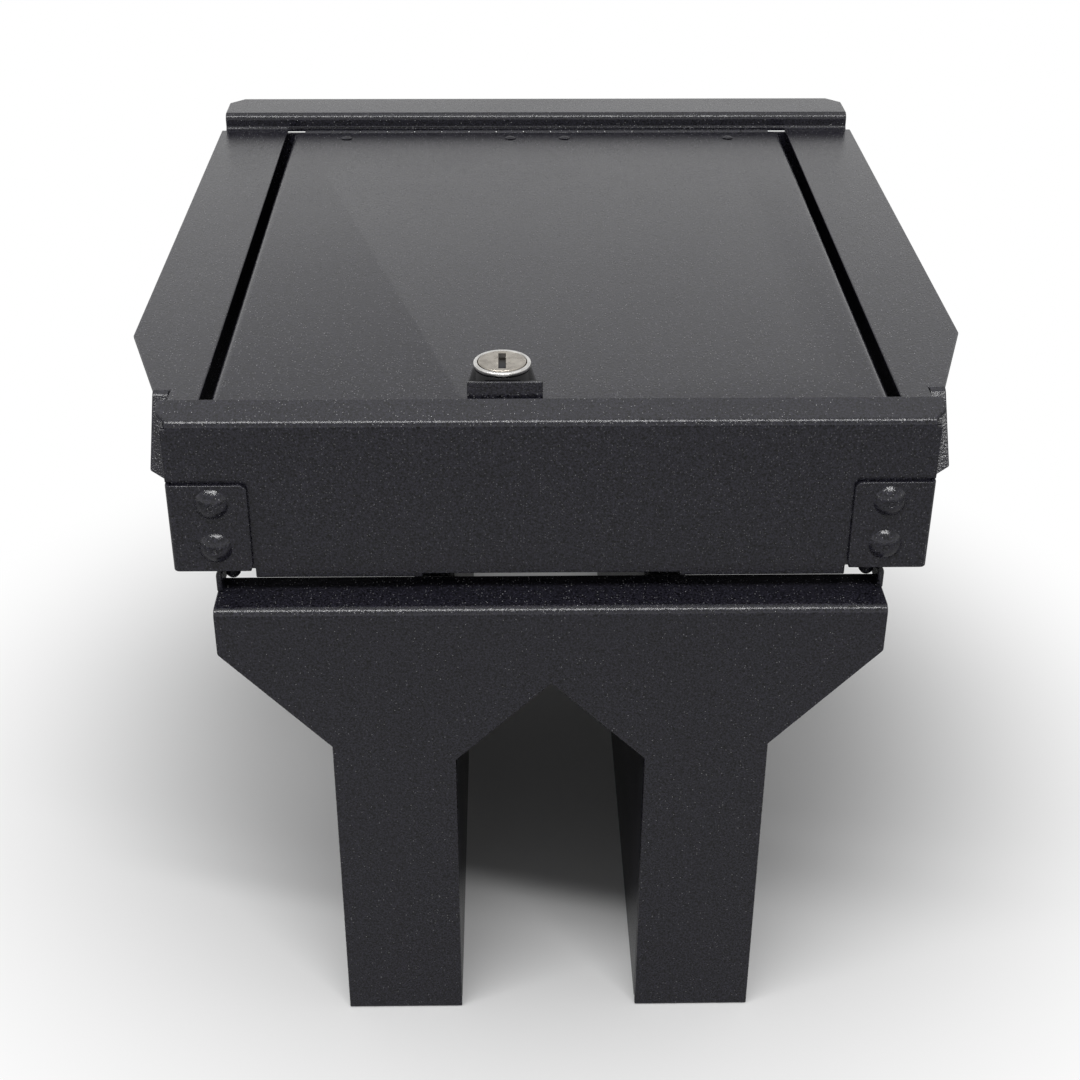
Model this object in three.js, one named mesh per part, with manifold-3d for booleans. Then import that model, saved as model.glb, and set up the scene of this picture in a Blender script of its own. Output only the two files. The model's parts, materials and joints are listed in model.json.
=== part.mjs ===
// Console safe: a shallow folded-steel box with a keyed, piano-hinged lid, a rim that hangs on
// the edges of a vehicle console, and a two-legged stand under it.
// Millimetres. X runs to the right, Y from the front wall towards the hinge, Z up.
// While the pieces are made, Y = 0 is the outer face of the front wall and Z = 0 the top of the
// closed lid. The finished group is shifted so that its origin is under the middle of the whole.

import * as THREE from "three";
import { mergeVertices } from "three/addons/utils/BufferGeometryUtils.js";
import Module from "manifold-3d";

const wasm = await Module();
wasm.setup();

// Sheet and joints between pieces
const boxSheet = 1.5;
const standSheet = 2;
const bendInside = 1.5;
const standBendInside = 1;
const seam = 0.3;
const bendSteps = 6;

// Box
const boxWidth = 253.6;
const boxHeight = 54.5;

// Lid
const lidSetback = 11;
const lidFrontFold = 36;

// Piano hinge
const hingeSetback = 300.7;
const hingeDrop = 2;
const hingeLength = 215.9;
const knuckleLength = 12.7;
const knuckleGap = 0.4;
const pinRadius = 1.2;
const pinClearance = 0.3;
const leafSheet = 0.9;
const leafWidth = 18;
const leafRelief = 0.45;
const leafRivetInset = 10.8;
const knuckleSides = 20;
const pinSides = 16;

// Rim that carries the box on the console
const rimWing = 20.1;
const rimLedge = 9;
const rimSlot = 3.3;
const rimChamferStart = 70;
const rimChamferEnd = 24;
const rimFront = 6;
const earWidth = 5.4;
const earDrop = 23.2;
const earAngle = THREE.MathUtils.degToRad(51);
const earCornerCut = 5.2;
const earCornerRise = 2.5;
const earRelief = 0.4;
const stepHeight = 7;
const stepGap = 0.7;
const shelfDepth = 24.2;
const shelfInset = 1.8;
const shelfCorner = 6.3;

// Front wall, its lip and the skirt under the box's floor
const lipLength = 10.7;
const lipAngle = THREE.MathUtils.degToRad(22.5);
const lipOverhang = 1.6;
const lipCornerCut = 3.4;
const lipCornerRadius = 1.5;
const lipReliefDrop = 2.1;
const skirtDrop = 3.6;
const skirtGap = 0.5;
const skirtNotchWidth = 87;
const skirtNotchHeight = 1.2;

// Corner tabs of the box, folded over the front wall
const tabWidth = 26.7;
const tabTop = 21.7;
const tabCornerRadius = 2.5;
const tabBendInside = 0.5;
const tabRivetInset = 14.8;
const tabRivetEnd = 7;
const tabRivetFloor = 9.2;

// Blind rivets of the corners, low rivets of the hinge and of the floor
const cornerRivet = {
  headRadius: 5.5, headHeight: 2.5, shankRadius: 2.4, tailRadius: 3.4, tailLength: 5,
  tailTip: 2.5, tailTaper: 1.5, sides: 20, domeSteps: 4,
};
const hingeRivet = {
  headRadius: 2.6, headHeight: 0.7, shankRadius: 1.5, tailRadius: 2.2, tailLength: 1,
  tailTip: 1.6, tailTaper: 0.3, sides: 12, domeSteps: 3,
};
const floorRivet = {
  headRadius: 4.5, headHeight: 1.5, shankRadius: 2, tailRadius: 2.5, tailLength: 4,
  tailTip: 1.8, tailTaper: 1.2, sides: 12, domeSteps: 3,
};
const rivetClearance = 0.3;
const hingeRivetPlaces = [-88, -12.5, 12.5, 88];

// Lock, offset to the left of the middle
const lockX = -16.1;
const lockSetback = 24.8;
const collarBaseRadius = 11.8;
const collarTopRadius = 9.5;
const collarHeight = 8.6;
const collarShoulder = 1.2;
const barrelRadius = 9;
const ringRadius = 9.6;
const ringHeight = 1.4;
const plugHeadRadius = 8;
const plugHeadDepth = 1.5;
const plugStandOut = 0.3;
const plugEdge = 0.4;
const plugRadius = 6.8;
const lockClearance = 0.3;
const barrelDrop = 13.5;
const nutFlats = 23;
const nutHeight = 4;
const keySlotLength = 11.5;
const keySlotWidth = 2.6;
const keySlotDepth = 7;
const lockSides = 32;
const camSides = 24;
const screwSides = 12;

// Cam that turns under the strike
const camTop = 15.6;
const camSheet = 2.4;
const camHubRadius = 8.5;
const camTipRadius = 5.5;
const camReach = 21;
const plugSquare = 7;
const camScrewFlats = 8;
const camScrewHead = 3.2;
const camScrewRadius = 2;
const camScrewDepth = 6;
const camWasherRadius = 7;
const camWasherSheet = 0.8;

// Strike behind the front wall
const strikeWidth = 40;
const strikeSheet = 2;
const strikeReach = 12.5;
const strikeHeight = 11;
const strikeGap = 0.5;

// Lift tab at the front edge of the lid
const liftTabShift = 0.9;
const liftTabWidth = 24.8;
const liftTabHeight = 8.5;
const liftTabRelief = 1.4;
const liftTabCorner = 0.5;
const liftTabBendInside = 0.8;
const liftTabLean = 1.7;

// Stand
const standLift = 9.3;
const standHeight = 182.2;
const standSetout = 12;
const standFlange = 21.6;
const standInset = 13.5;
const standSideDrop = 17.7;
const standKneeDrop = 57;
const legWidth = 43.2;
const legOuter = 76.5;
const crotchDrop = 63.1;
const apexDrop = 30.4;
const standCornerRadius = 2;
const railFlange = 14;
const railTopGap = 1.3;

// Angles that carry the box on the stand
const angleFlange = 12;
const angleNotch = 2;
const angleRivetEnd = 6.5;
const angleRivetInset = 5;
const angleRivetRows = 3;

// Places that follow from the sizes
const knuckleRadius = pinRadius + pinClearance + leafSheet;
const leafBack = hingeSetback + knuckleRadius;
const rearInside = leafBack + seam;
const rearOutside = rearInside + boxSheet;
const stepFront = leafBack + stepGap;
const rearEdge = stepFront + shelfDepth;
const lidBack = hingeSetback - knuckleRadius - leafRelief;
const boxHalf = boxWidth / 2;
const boxInsideHalf = boxHalf - boxSheet;
const openingHalf = boxInsideHalf - rimLedge;
const lidHalf = openingHalf - rimSlot;
const rimHalf = boxHalf + rimWing;
const strikeUnder = -camTop + strikeGap;
const lidEdgeDrop = -(strikeUnder + strikeSheet + seam);
const earInner = boxHalf + earRelief;
const earOuter = earInner + earWidth;
const wallDrop = boxHeight + skirtDrop;
const tabInner = boxHalf - tabWidth;
const tabRivetX = boxHalf - tabRivetInset;
const tabRivetDrops = [tabTop + tabRivetEnd, boxHeight - tabRivetFloor];
const liftTabX = lockX + liftTabShift;
const wallBack = boxSheet;
const shellFront = wallBack + seam;
const floorTop = -(boxHeight - boxSheet);
const shelfHalf = rimHalf - shelfInset;
const boxMiddle = rearOutside / 2;
const standTop = -boxHeight - standLift;
const standBottom = standTop - standHeight;
const standHalf = boxHalf - standInset;
const legInner = legOuter - legWidth;
const plateBack = -standSetout + standSheet;
const wholeMiddle = (rearEdge - standSetout) / 2;

// Finishes
const satinBlack = { color: 0x2b2a2c, roughness: 0.5, metalness: 0.1 };
const glossBlack = { color: 0x0e0e10, roughness: 0.15, metalness: 0 };
const brightMetal = { color: 0xd4d4d2, roughness: 0.25, metalness: 1 };
const dullSteel = { color: 0x8d8f92, roughness: 0.4, metalness: 1 };

const safe = new THREE.Group();

function addPiece(name, shape, finish) {
  const geometry = shape.isBufferGeometry ? shape : toGeometry(shape);
  const mesh = new THREE.Mesh(geometry, new THREE.MeshStandardMaterial(finish));
  mesh.name = name;
  safe.add(mesh);
  return mesh;
}

// Closed meshes with shared corners, for joining and cutting

function toSolid(geometry) {
  const bare = geometry.clone();
  bare.deleteAttribute("normal");
  bare.deleteAttribute("uv");
  const merged = mergeVertices(bare, 1e-4);
  return new wasm.Manifold(new wasm.Mesh({
    numProp: 3,
    vertProperties: new Float32Array(merged.attributes.position.array),
    triVerts: new Uint32Array(merged.index.array),
  }));
}

function toGeometry(solid) {
  const mesh = solid.getMesh();
  const geometry = new THREE.BufferGeometry();
  geometry.setAttribute("position", new THREE.BufferAttribute(new Float32Array(mesh.vertProperties), 3));
  geometry.setIndex(new THREE.BufferAttribute(new Uint32Array(mesh.triVerts), 1));
  geometry.computeVertexNormals();
  return geometry;
}

function joined(...solids) {
  return solids.reduce((whole, next) => whole.add(next));
}

// Outlines

// The arc that rounds a corner between two straight runs
function cornerArc(before, corner, after, radius, steps) {
  const arrive = corner.clone().sub(before).normalize();
  const leave = after.clone().sub(corner).normalize();
  const turn = Math.sign(arrive.cross(leave)) || 1;
  const angle = Math.acos(THREE.MathUtils.clamp(arrive.dot(leave), -1, 1));
  const start = corner.clone().addScaledVector(arrive, -radius * Math.tan(angle / 2));
  const normal = new THREE.Vector2(-arrive.y, arrive.x);
  const centre = start.clone().addScaledVector(normal, turn * radius);
  return Array.from({ length: steps + 1 }, (unused, k) => {
    const side = normal.clone().rotateAround(new THREE.Vector2(), (turn * angle * k) / steps);
    return { point: centre.clone().addScaledVector(side, -turn * radius), normal: side };
  });
}

// A closed outline from corners [x, y] or [x, y, radius]
function outline(corners, steps = bendSteps) {
  const points = corners.map(([x, y]) => new THREE.Vector2(x, y));
  const count = corners.length;
  return new THREE.Shape(corners.flatMap(([, , radius = 0], i) => {
    if (!radius) return [points[i]];
    const before = points[(i + count - 1) % count];
    return cornerArc(before, points[i], points[(i + 1) % count], radius, steps).map((at) => at.point);
  }));
}

// The section of a folded sheet: one face runs through the corners, and the sheet lies to the
// left of it (side = 1) or to the right (side = -1)
function foldedSection(corners, side, sheet, insideRadius) {
  const points = corners.map(([x, y]) => new THREE.Vector2(x, y));
  const along = (from, to) => to.clone().sub(from).normalize();
  const leftOf = (run) => new THREE.Vector2(-run.y, run.x);
  const last = points.length - 1;
  const stations = [{ point: points[0], normal: leftOf(along(points[0], points[1])) }];
  for (let i = 1; i < last; i += 1) {
    const turn = along(points[i - 1], points[i]).cross(along(points[i], points[i + 1]));
    const radius = insideRadius + (Math.sign(turn) === side ? sheet : 0);
    stations.push(...cornerArc(points[i - 1], points[i], points[i + 1], radius, bendSteps));
  }
  stations.push({ point: points[last], normal: leftOf(along(points[last - 1], points[last])) });
  const far = stations.map((at) => at.point.clone().addScaledVector(at.normal, side * sheet));
  return new THREE.Shape([...stations.map((at) => at.point), ...far.reverse()]);
}

function circle(x, y, radius, sides) {
  return new THREE.Shape(Array.from({ length: sides }, (unused, k) => {
    const angle = (2 * Math.PI * (k + 0.5)) / sides;
    return new THREE.Vector2(x + radius * Math.cos(angle), y + radius * Math.sin(angle));
  }));
}

function hexagon(x, y, flats) {
  return circle(x, y, flats / Math.sqrt(3), 6);
}

// Straight bodies: a section in one plane, drawn out between two places on the third axis

function drawn(shape, length, basis, place) {
  const geometry = new THREE.ExtrudeGeometry(shape, { depth: length, bevelEnabled: false });
  geometry.applyMatrix4(new THREE.Matrix4().makeBasis(...basis).setPosition(place));
  return toSolid(geometry);
}

const xAxis = new THREE.Vector3(1, 0, 0);
const yAxis = new THREE.Vector3(0, 1, 0);
const zAxis = new THREE.Vector3(0, 0, 1);

// Section in Y and Z
function alongX(shape, from, to) {
  return drawn(shape, to - from, [yAxis, zAxis, xAxis], new THREE.Vector3(from, 0, 0));
}

// Section in X and Z
function alongY(shape, from, to) {
  return drawn(shape, to - from, [xAxis, zAxis, yAxis.clone().negate()], new THREE.Vector3(0, to, 0));
}

// Section in X and Y
function alongZ(shape, from, to) {
  return drawn(shape, to - from, [xAxis, yAxis, zAxis], new THREE.Vector3(0, 0, from));
}

function block(x0, x1, y0, y1, z0, z1) {
  return alongZ(outline([[x0, y0], [x1, y0], [x1, y1], [x0, y1]]), z0, z1);
}

// The corners of one half of an outline, followed by their mirror images
function bothSides(half) {
  return [...half, ...half.map(([x, ...rest]) => [-x, ...rest]).reverse()];
}

// A turned body from [radius, height] corners that start and end on the axis or close on
// themselves, standing on Z
function turned(profile, sides) {
  const points = profile.map(([r, h]) => new THREE.Vector2(r, h));
  if (THREE.ShapeUtils.area(points) < 0) points.reverse();
  const geometry = new THREE.LatheGeometry(points, sides);
  geometry.rotateX(Math.PI / 2);
  return toSolid(geometry);
}

// A rivet with its head above z = 0, its shank through the grip and its tail below
function rivet(size, grip) {
  const { headRadius, headHeight, shankRadius, sides, domeSteps } = size;
  const { tailRadius, tailLength, tailTip, tailTaper } = size;
  const dome = Array.from({ length: domeSteps }, (unused, k) => {
    const angle = (Math.PI / 2) * (1 - k / domeSteps);
    return [headRadius * Math.cos(angle), headHeight * Math.sin(angle)];
  });
  return turned([
    ...dome,
    [headRadius, 0],
    [shankRadius, 0],
    [shankRadius, -grip],
    [tailRadius, -grip],
    [tailRadius, -grip - tailLength + tailTaper],
    [tailTip, -grip - tailLength],
    [0, -grip - tailLength],
  ], sides);
}

function rivetHole(x, y, size) {
  return circle(x, y, size.shankRadius + rivetClearance, size.sides);
}

// How far cutting bodies reach past what they cut
const far = 500;
const over = 1;

// Top frame: wings on both sides, a raised shelf behind the hinge, ears folded down in front

function makeTopFrame() {
  const section = foldedSection(
    [[rimFront, 0], [stepFront, 0], [stepFront, stepHeight], [rearEdge, stepHeight]],
    -1, boxSheet, bendInside,
  );
  const foot = stepFront - bendInside - seam;
  const bendStart = rimChamferEnd + (bendInside + boxSheet) * Math.tan(earAngle / 2);
  const plan = alongZ(outline([
    [-earInner + earRelief, rimFront], [earInner - earRelief, rimFront],
    [earInner - earRelief, bendStart], [earOuter, bendStart],
    [rimHalf, rimChamferStart], [rimHalf, foot], [shelfHalf, foot],
    [shelfHalf, rearEdge - shelfCorner], [shelfHalf - shelfCorner, rearEdge],
    [-shelfHalf + shelfCorner, rearEdge], [-shelfHalf, rearEdge - shelfCorner],
    [-shelfHalf, foot], [-rimHalf, foot], [-rimHalf, rimChamferStart],
    [-earOuter, bendStart], [-earInner + earRelief, bendStart],
  ]), -far, far);
  const opening = block(-openingHalf, openingHalf, -far, rearInside, -far, bendInside);
  const plate = alongX(section, -rimHalf, rimHalf).intersect(plan).subtract(opening);
  const earLength = earDrop / Math.sin(earAngle);
  const earTip = [rimChamferEnd - earLength * Math.cos(earAngle), -earDrop];
  const earSection = foldedSection(
    [[rimChamferEnd + earCornerCut, 0], [rimChamferEnd, 0], earTip], 1, boxSheet, bendInside,
  );
  const corner = outline([
    [earInner, -far], [earOuter - earCornerCut, -far], [earOuter - earCornerCut, -earDrop],
    [earOuter, -earDrop + earCornerRise], [earOuter, far], [earInner, far],
  ]);
  const ear = alongX(earSection, earInner, earOuter).intersect(alongY(corner, -far, far));
  const right = joined(plate.subtract(block(-far, 0, -far, far, -far, far)), ear);
  return joined(right, right.mirror([1, 0, 0]));
}

// Box: floor and sides in one fold, rear wall, and the tabs that wrap over the front wall

function makeTab() {
  const section = foldedSection(
    [[boxHalf, shellFront + bendInside], [boxHalf, -boxSheet - seam], [tabInner, -boxSheet - seam]],
    -1, boxSheet, tabBendInside,
  );
  const face = outline([
    [boxHalf + far, -boxHeight], [boxHalf + far, -tabTop],
    [tabInner, -tabTop, tabCornerRadius], [tabInner, -boxHeight, tabCornerRadius],
  ]);
  const holes = tabRivetDrops.map((drop) => alongY(
    rivetHole(tabRivetX, -drop, cornerRivet), -far, far,
  ));
  return alongZ(section, -boxHeight, -tabTop).intersect(alongY(face, -far, far)).subtract(joined(...holes));
}

const angleRivetX = standHalf - angleRivetInset;
const angleRivetYs = Array.from({ length: angleRivetRows }, (unused, k) => {
  return angleRivetEnd + ((rearOutside - 2 * angleRivetEnd) * k) / (angleRivetRows - 1);
});
const floorRivetPlaces = [-1, 1].flatMap((side) => angleRivetYs.map((y) => [side * angleRivetX, y]));

function makeBoxShell() {
  const wallTop = -boxSheet - seam;
  const outside = [[-boxHalf, wallTop], [-boxHalf, -boxHeight], [boxHalf, -boxHeight], [boxHalf, wallTop]];
  const fold = alongY(foldedSection(outside, 1, boxSheet, bendInside), shellFront, rearOutside);
  const round = boxSheet + bendInside;
  const backFace = outline([
    [-boxHalf, wallTop], [-boxHalf, -boxHeight, round], [boxHalf, -boxHeight, round], [boxHalf, wallTop],
  ]);
  const back = alongY(backFace, rearInside, rearOutside);
  const tab = makeTab();
  const holes = [
    ...floorRivetPlaces.map(([x, y]) => alongZ(
      rivetHole(x, y, floorRivet), -boxHeight - over, floorTop + over,
    )),
    ...hingeRivetPlaces.map((x) => alongY(
      rivetHole(x, leafRivetZ, hingeRivet), rearInside - over, rearOutside + over,
    )),
  ];
  return joined(fold, back, tab, tab.mirror([1, 0, 0])).subtract(joined(...holes));
}

// Front wall, its top edge folded back into a raised lip

function makeFrontWall() {
  const lipEnd = [lipLength * Math.cos(lipAngle), lipLength * Math.sin(lipAngle)];
  const section = foldedSection([[0, -wallDrop], [0, 0], lipEnd], -1, boxSheet, bendInside);
  const lipHalf = boxHalf + lipOverhang;
  const lipNeck = lipHalf - lipCornerCut;
  const lipPlan = alongZ(outline(bothSides([
    [lipHalf, lipEnd[0] + boxSheet, lipCornerRadius + boxSheet], [lipHalf, lipCornerCut + bendInside],
    [lipNeck, bendInside], [lipNeck, -far],
  ])), -lipReliefDrop, far);
  const besideTab = boxInsideHalf - seam;
  const face = alongY(outline(bothSides([
    [boxHalf, -lipReliefDrop], [boxHalf, -tabTop + seam], [besideTab, -tabTop + seam],
    [besideTab, -boxHeight], [tabInner - skirtGap, -boxHeight],
    [tabInner - skirtGap, -wallDrop], [skirtNotchWidth / 2, -wallDrop],
    [skirtNotchWidth / 2, -wallDrop + skirtNotchHeight],
  ])), -far, far);
  const holes = [-1, 1].flatMap((side) => tabRivetDrops.map((drop) => alongY(
    rivetHole(side * tabRivetX, -drop, cornerRivet), -far, far,
  )));
  const sheet = alongX(section, -lipHalf, lipHalf);
  return sheet.intersect(joined(lipPlan, face)).subtract(joined(...holes));
}

// Strike: an angle behind the front wall, under which the cam turns

function makeStrike() {
  const back = wallBack + seam;
  const section = foldedSection(
    [[back, strikeUnder + strikeHeight], [back, strikeUnder], [back + strikeReach, strikeUnder]],
    1, strikeSheet, standBendInside,
  );
  return alongX(section, lockX - strikeWidth / 2, lockX + strikeWidth / 2);
}

// Piano hinge: both leaves carry every other knuckle round one pin

const knuckleCount = Math.round(hingeLength / knuckleLength);
const knucklePitch = hingeLength / knuckleCount;
const leafRivetZ = -hingeDrop - leafRivetInset;
const leafRivetY = hingeSetback - leafRivetInset;

function knuckles(parity) {
  return Array.from({ length: knuckleCount }, (unused, k) => k).filter((k) => k % 2 === parity)
    .map((k) => [-hingeLength / 2 + k * knucklePitch, -hingeLength / 2 + (k + 1) * knucklePitch]);
}

function hingeBarrel(parity) {
  const round = circle(hingeSetback, -hingeDrop, knuckleRadius, knuckleSides);
  return joined(...knuckles(parity).map(([from, to]) => alongX(
    round, from + knuckleGap / 2, to - knuckleGap / 2,
  )));
}

function hingeClearance(parity) {
  const half = knuckleRadius + leafRelief;
  return joined(...knuckles(parity).map(([from, to]) => block(
    from - knuckleGap / 2, to + knuckleGap / 2,
    hingeSetback - half, hingeSetback + half, -hingeDrop - half, -hingeDrop + half,
  )));
}

function hingeBore() {
  return alongX(circle(hingeSetback, -hingeDrop, pinRadius + pinClearance, pinSides), -far, far);
}

function makeLidLeaf() {
  const top = -boxSheet - seam;
  const leaf = block(
    -hingeLength / 2, hingeLength / 2, hingeSetback - leafWidth, hingeSetback, top - leafSheet, top,
  );
  const holes = hingeRivetPlaces.map((x) => alongZ(
    rivetHole(x, leafRivetY, hingeRivet), top - far, top + over,
  ));
  return joined(leaf.subtract(hingeClearance(1)), hingeBarrel(0)).subtract(joined(hingeBore(), ...holes));
}

function makeFrameLeaf() {
  const leaf = block(
    -hingeLength / 2, hingeLength / 2, leafBack - leafSheet, leafBack, -hingeDrop - leafWidth, -hingeDrop,
  );
  const holes = hingeRivetPlaces.map((x) => alongY(
    rivetHole(x, leafRivetZ, hingeRivet), leafBack - far, leafBack + over,
  ));
  return joined(leaf.subtract(hingeClearance(0)), hingeBarrel(1)).subtract(joined(hingeBore(), ...holes));
}

// Lid: a plate with down-turned edges and a lift tab bent up in front of the lock

function makeLid() {
  const half = lidHalf;
  const sideSection = foldedSection(
    [[-half, -lidEdgeDrop], [-half, 0], [half, 0], [half, -lidEdgeDrop]], -1, boxSheet, bendInside,
  );
  const plate = alongY(sideSection, lidSetback + boxSheet + bendInside, lidBack);
  const frontSection = foldedSection(
    [[lidSetback, -lidEdgeDrop], [lidSetback, 0], [lidSetback + lidFrontFold, 0]], -1, boxSheet, bendInside,
  );
  const apron = half - boxSheet - bendInside;
  const front = alongX(frontSection, -apron, apron);
  const gapHalf = liftTabWidth / 2 + liftTabRelief;
  const gapBack = lidSetback + boxSheet + bendInside;
  const gap = block(liftTabX - gapHalf, liftTabX + gapHalf, -far, gapBack, -far, far);
  const tabLeft = liftTabX - liftTabWidth / 2;
  const tabRight = liftTabX + liftTabWidth / 2;
  const tabSection = foldedSection(
    [
      [lidSetback + liftTabLean, liftTabHeight], [lidSetback, -boxSheet],
      [gapBack + boxSheet, -boxSheet],
    ],
    1, boxSheet, liftTabBendInside,
  );
  const tabFace = outline([
    [tabLeft, -far], [tabRight, -far],
    [tabRight, liftTabHeight, liftTabCorner], [tabLeft, liftTabHeight, liftTabCorner],
  ]);
  const liftTab = alongX(tabSection, tabLeft, tabRight)
    .intersect(alongY(tabFace, -far, far));
  const holes = [
    alongZ(circle(lockX, lockSetback, barrelRadius + lockClearance, lockSides), -far, far),
    ...hingeRivetPlaces.map((x) => alongZ(rivetHole(x, leafRivetY, hingeRivet), -far, far)),
  ];
  return joined(joined(plate, front).subtract(gap), liftTab).subtract(joined(...holes));
}

// Lock

const ringTop = collarHeight + ringHeight + seam;

function atLock(solid) {
  return solid.translate([lockX, lockSetback, 0]);
}

function makeCollar() {
  const bore = barrelRadius + lockClearance;
  return atLock(turned([
    [bore, seam], [collarBaseRadius, seam], [collarBaseRadius, seam + collarShoulder],
    [collarTopRadius + collarShoulder / 2, collarHeight - collarShoulder],
    [collarTopRadius, collarHeight - collarShoulder / 3],
    [bore, collarHeight], [bore, seam],
  ], lockSides));
}

function makeBarrel() {
  const mouth = plugHeadRadius + lockClearance;
  const bore = plugRadius + lockClearance;
  const edge = ringHeight / 3;
  const shelf = ringTop - plugHeadDepth - lockClearance;
  return atLock(turned([
    [bore, -barrelDrop], [barrelRadius, -barrelDrop], [barrelRadius, collarHeight + seam],
    [ringRadius, collarHeight + seam], [ringRadius, ringTop - edge], [ringRadius - edge, ringTop],
    [mouth + edge / 2, ringTop], [mouth, ringTop - edge / 2], [mouth, shelf], [bore, shelf],
    [bore, -barrelDrop],
  ], lockSides));
}

function makeNut() {
  const top = -boxSheet - seam;
  const hole = alongZ(circle(lockX, lockSetback, barrelRadius + lockClearance, lockSides), -far, far);
  return alongZ(hexagon(lockX, lockSetback, nutFlats), top - nutHeight, top).subtract(hole);
}

function makePlug() {
  const face = ringTop + plugStandOut;
  const end = -camTop + seam;
  const body = atLock(turned([
    [0, face], [plugHeadRadius - plugEdge, face], [plugHeadRadius, face - plugEdge],
    [plugHeadRadius, ringTop - plugHeadDepth], [plugRadius, ringTop - plugHeadDepth],
    [plugRadius, end], [0, end],
  ], lockSides));
  const square = plugSquare / 2;
  const foot = block(
    lockX - square, lockX + square, lockSetback - square, lockSetback + square,
    -camTop - camSheet, end + over,
  );
  const slot = block(
    lockX - keySlotWidth / 2, lockX + keySlotWidth / 2,
    lockSetback - keySlotLength / 2, lockSetback + keySlotLength / 2, face - keySlotDepth, face + over,
  );
  const screwHole = alongZ(
    circle(lockX, lockSetback, camScrewRadius + lockClearance, screwSides),
    -far, -camTop - camSheet + camScrewDepth + seam,
  );
  return joined(body, foot).subtract(joined(slot, screwHole));
}

// The cam points to the right when unlocked and to the front wall when locked
function makeCam() {
  const square = plugSquare / 2 + lockClearance;
  const hub = circle(lockX, lockSetback, camHubRadius, camSides);
  const tip = circle(lockX + camReach - camTipRadius, lockSetback, camTipRadius, camSides);
  const arm = outline([
    [lockX, lockSetback - camTipRadius], [lockX + camReach - camTipRadius, lockSetback - camTipRadius],
    [lockX + camReach - camTipRadius, lockSetback + camTipRadius], [lockX, lockSetback + camTipRadius],
  ]);
  const bottom = -camTop - camSheet;
  const plate = joined(...[hub, tip, arm].map((shape) => alongZ(shape, bottom, -camTop)));
  const hole = block(
    lockX - square, lockX + square, lockSetback - square, lockSetback + square, bottom - over, over - camTop,
  );
  return plate.subtract(hole);
}

function makeCamScrew() {
  const under = -camTop - camSheet - seam;
  const washer = alongZ(circle(lockX, lockSetback, camWasherRadius, camSides), under - camWasherSheet, under);
  const head = alongZ(
    hexagon(lockX, lockSetback, camScrewFlats), under - camWasherSheet - camScrewHead, under - camWasherSheet,
  );
  const shank = alongZ(
    circle(lockX, lockSetback, camScrewRadius, screwSides), under - over, -camTop - camSheet + camScrewDepth,
  );
  return joined(washer, head, shank);
}

// Stand: two cut and folded leg plates, two rails between them, two angles under the box

function makeLegBracket() {
  const section = foldedSection(
    [[-standSetout + standFlange, standTop], [-standSetout, standTop], [-standSetout, standBottom]],
    1, standSheet, standBendInside,
  );
  const face = outline(bothSides([
    [standHalf, standTop + over], [standHalf, standTop - standSideDrop, standCornerRadius],
    [legOuter, standTop - standKneeDrop], [legOuter, standBottom],
    [legInner, standBottom], [legInner, standTop - crotchDrop], [0, standTop - apexDrop],
  ]).filter(([x], i, all) => x || i < all.length / 2));
  return alongX(section, -standHalf, standHalf).intersect(alongY(face, -far, far));
}

function makeRail() {
  const front = plateBack + seam;
  const rear = 2 * boxMiddle - front;
  const top = standTop - standSheet - railTopGap;
  const outer = legInner + railFlange;
  const ends = foldedSection(
    [[outer, front], [legInner, front], [legInner, rear], [outer, rear]], -1, standSheet, standBendInside,
  );
  const shoulder = foldedSection(
    [[legInner, top - 2 * railFlange], [legInner, top], [outer, top]], -1, standSheet, standBendInside,
  );
  const relief = standSheet + standBendInside + seam;
  return joined(
    alongZ(ends, standBottom, top - relief),
    alongY(shoulder, front + relief, rear - relief),
  );
}

function makeSupportAngle() {
  const top = -boxHeight - seam;
  const foot = standTop + seam;
  const section = foldedSection(
    [[standHalf, foot], [standHalf, top], [standHalf - angleFlange, top]], 1, standSheet, standBendInside,
  );
  const notch = (from, to) => block(-far, standHalf - standSheet, from, to, -far, far);
  const holes = angleRivetYs.map((y) => alongZ(rivetHole(angleRivetX, y, floorRivet), -far, far));
  return alongY(section, 0, rearOutside).subtract(joined(
    notch(-over, angleNotch), notch(rearOutside - angleNotch, rearOutside + over), ...holes,
  ));
}

addPiece("top_frame", makeTopFrame(), satinBlack);
addPiece("box_shell", makeBoxShell(), satinBlack);
addPiece("front_wall", makeFrontWall(), satinBlack);
addPiece("latch_strike", makeStrike(), satinBlack);

const cornerGrip = 2 * boxSheet + seam;
const cornerRivetShape = rivet(cornerRivet, cornerGrip + 2 * seam).rotate([90, 0, 0]);
["left", "right"].forEach((side, i) => {
  tabRivetDrops.forEach((drop, row) => {
    const place = [(i ? 1 : -1) * tabRivetX, -boxSheet - 2 * seam, -drop];
    addPiece(`${side}_corner_rivet_${row + 1}`, cornerRivetShape.translate(place), satinBlack);
  });
});

addPiece("hinge_frame_leaf", makeFrameLeaf(), satinBlack);
addPiece("hinge_lid_leaf", makeLidLeaf(), satinBlack);
addPiece("hinge_pin", alongX(
  circle(hingeSetback, -hingeDrop, pinRadius, pinSides), -hingeLength / 2, hingeLength / 2,
), dullSteel);

const lidRivetShape = rivet(hingeRivet, boxSheet + leafSheet + 3 * seam);
const wallRivetShape = lidRivetShape.rotate([-90, 0, 0]);
hingeRivetPlaces.forEach((x, i) => {
  addPiece(`lid_hinge_rivet_${i + 1}`, lidRivetShape.translate([x, leafRivetY, seam]), satinBlack);
  addPiece(
    `frame_hinge_rivet_${i + 1}`, wallRivetShape.translate([x, rearOutside + seam, leafRivetZ]), satinBlack,
  );
});

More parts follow.
